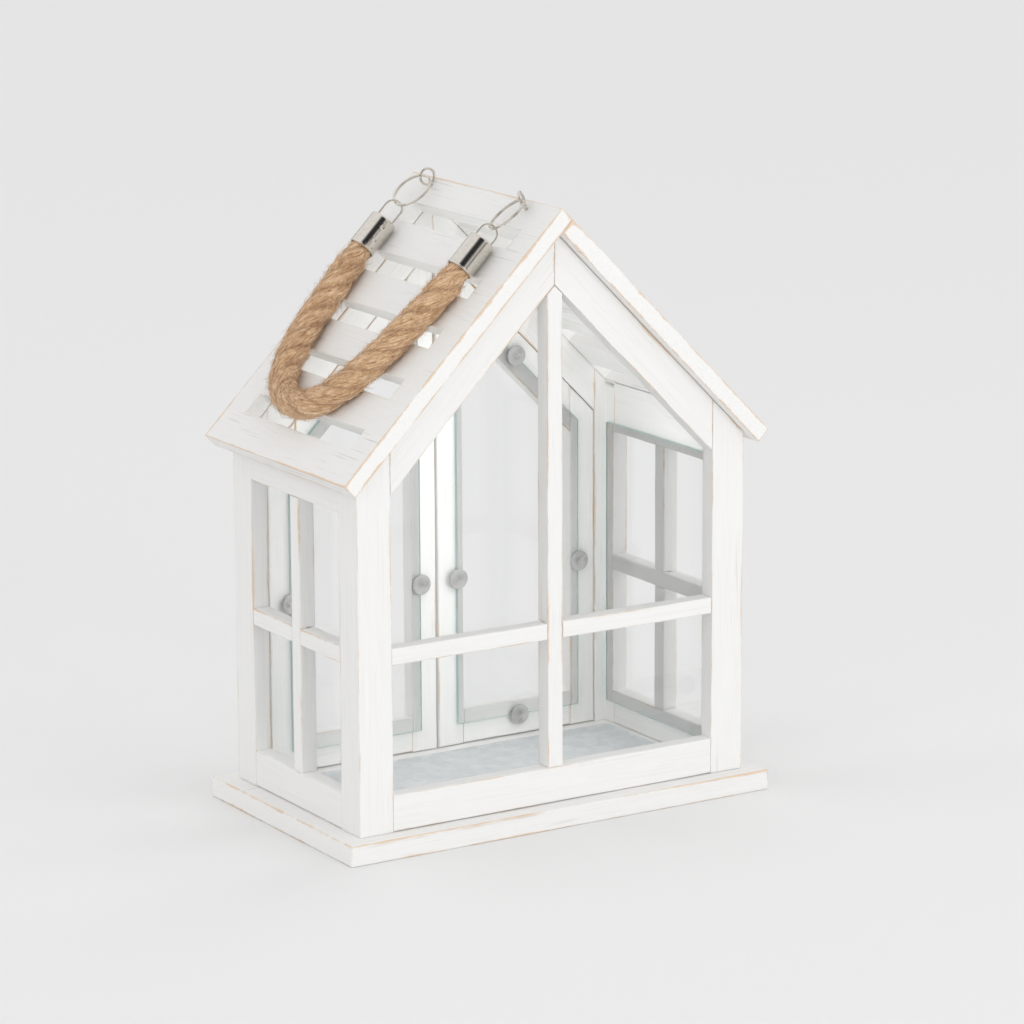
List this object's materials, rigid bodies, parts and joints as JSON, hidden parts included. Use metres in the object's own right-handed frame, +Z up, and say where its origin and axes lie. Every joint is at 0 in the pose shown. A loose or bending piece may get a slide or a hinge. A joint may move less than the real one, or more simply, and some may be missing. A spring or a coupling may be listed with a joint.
{
  "type": "hanging lantern",
  "caption": "House-shaped glazed wooden lantern with a slotted gable roof, hinged back doors and a rope handle that swings over the ridge.",
  "frame": {"origin": "bottom centre of the base board, on the surface the lantern stands on", "axes": "+Z up, -Y towards the glazed front, +X to the right seen from the front"},
  "size_m": [0.278, 0.162, 0.3586],
  "materials": {
    "whitewashed_wood": "white paint rubbed back along the edges",
    "clear_glass": "clear float glass, 2.5 mm",
    "bright_nickel": "bright nickel plate",
    "grey_zinc": "dull grey galvanised sheet",
    "jute": "twisted jute rope"
  },
  "bodies": {
    "root": {"base_board": "whitewashed_wood", "floor_tray": "grey_zinc", "front_left_post": "whitewashed_wood", "back_left_post": "whitewashed_wood", "front_right_post": "whitewashed_wood", "back_right_post": "whitewashed_wood", "front_bottom_rail": "whitewashed_wood", "front_left_rafter": "whitewashed_wood", "front_right_rafter": "whitewashed_wood", "front_mullion": "whitewashed_wood", "front_cross_bar": "whitewashed_wood", "left_bottom_rail": "whitewashed_wood", "left_top_rail": "whitewashed_wood", "left_mullion": "whitewashed_wood", "left_cross_bar": "whitewashed_wood", "right_bottom_rail": "whitewashed_wood", "right_top_rail": "whitewashed_wood", "right_mullion": "whitewashed_wood", "right_cross_bar": "whitewashed_wood", "back_left_rafter": "whitewashed_wood", "back_right_rafter": "whitewashed_wood", "front_glass": "clear_glass", "left_glass": "clear_glass", "right_glass": "clear_glass", "left_lower_hinge_post_leaf": "bright_nickel", "left_upper_hinge_post_leaf": "bright_nickel", "right_lower_hinge_post_leaf": "bright_nickel", "right_upper_hinge_post_leaf": "bright_nickel", "left_roof_board": "whitewashed_wood", "right_roof_board": "whitewashed_wood", "back_screw_eye": "bright_nickel", "front_screw_eye": "bright_nickel"},
    "left_door": {"left_door_meeting_stile": "whitewashed_wood", "left_door_hinge_stile": "whitewashed_wood", "left_door_bottom_rail": "whitewashed_wood", "left_door_top_rail": "whitewashed_wood", "left_door_glass": "clear_glass", "left_door_retainer_meeting": "grey_zinc", "left_door_retainer_hinge": "grey_zinc", "left_door_retainer_bottom": "grey_zinc", "left_door_retainer_top": "grey_zinc", "left_lower_hinge_door_leaf": "bright_nickel", "left_upper_hinge_door_leaf": "bright_nickel"},
    "right_door": {"right_door_meeting_stile": "whitewashed_wood", "right_door_hinge_stile": "whitewashed_wood", "right_door_bottom_rail": "whitewashed_wood", "right_door_top_rail": "whitewashed_wood", "right_door_glass": "clear_glass", "right_door_retainer_meeting": "grey_zinc", "right_door_retainer_hinge": "grey_zinc", "right_door_retainer_bottom": "grey_zinc", "right_door_retainer_top": "grey_zinc", "right_lower_hinge_door_leaf": "bright_nickel", "right_upper_hinge_door_leaf": "bright_nickel", "door_knob": "bright_nickel"},
    "back_ring": {"back_split_ring": "bright_nickel"},
    "front_ring": {"front_split_ring": "bright_nickel"},
    "handle": {"back_ferrule": "bright_nickel", "front_ferrule": "bright_nickel", "rope_handle": "jute"}
  },
  "joints": [
    {"name": "left_door_hinge", "type": "hinge", "parent": "root", "child": "left_door", "pos_m": [-0.1095, 0.0726, 0.11], "axis": [0, 0, 1], "range_deg": [0, 110]},
    {"name": "right_door_hinge", "type": "hinge", "parent": "root", "child": "right_door", "pos_m": [0.1095, 0.0726, 0.11], "axis": [0, 0, -1], "range_deg": [0, 110]},
    {"name": "back_ring_swing", "type": "hinge", "parent": "root", "child": "back_ring", "pos_m": [-0.00693, 0.0544, 0.35327], "axis": [0, 1, 0], "range_deg": [0, 190]},
    {"name": "front_ring_swing", "type": "hinge", "parent": "root", "child": "front_ring", "pos_m": [-0.00693, -0.0476, 0.35327], "axis": [0, 1, 0], "range_deg": [0, 190]},
    {"name": "handle_tilt", "type": "hinge", "parent": "back_ring", "child": "handle", "pos_m": [-0.02555, 0.0574, 0.33861], "axis": [0, 1, 0], "range_deg": [0, 65]}
  ],
  "couplings": [
    {"joint": "front_ring_swing", "follows": "back_ring_swing", "ratio": 1}
  ]
}
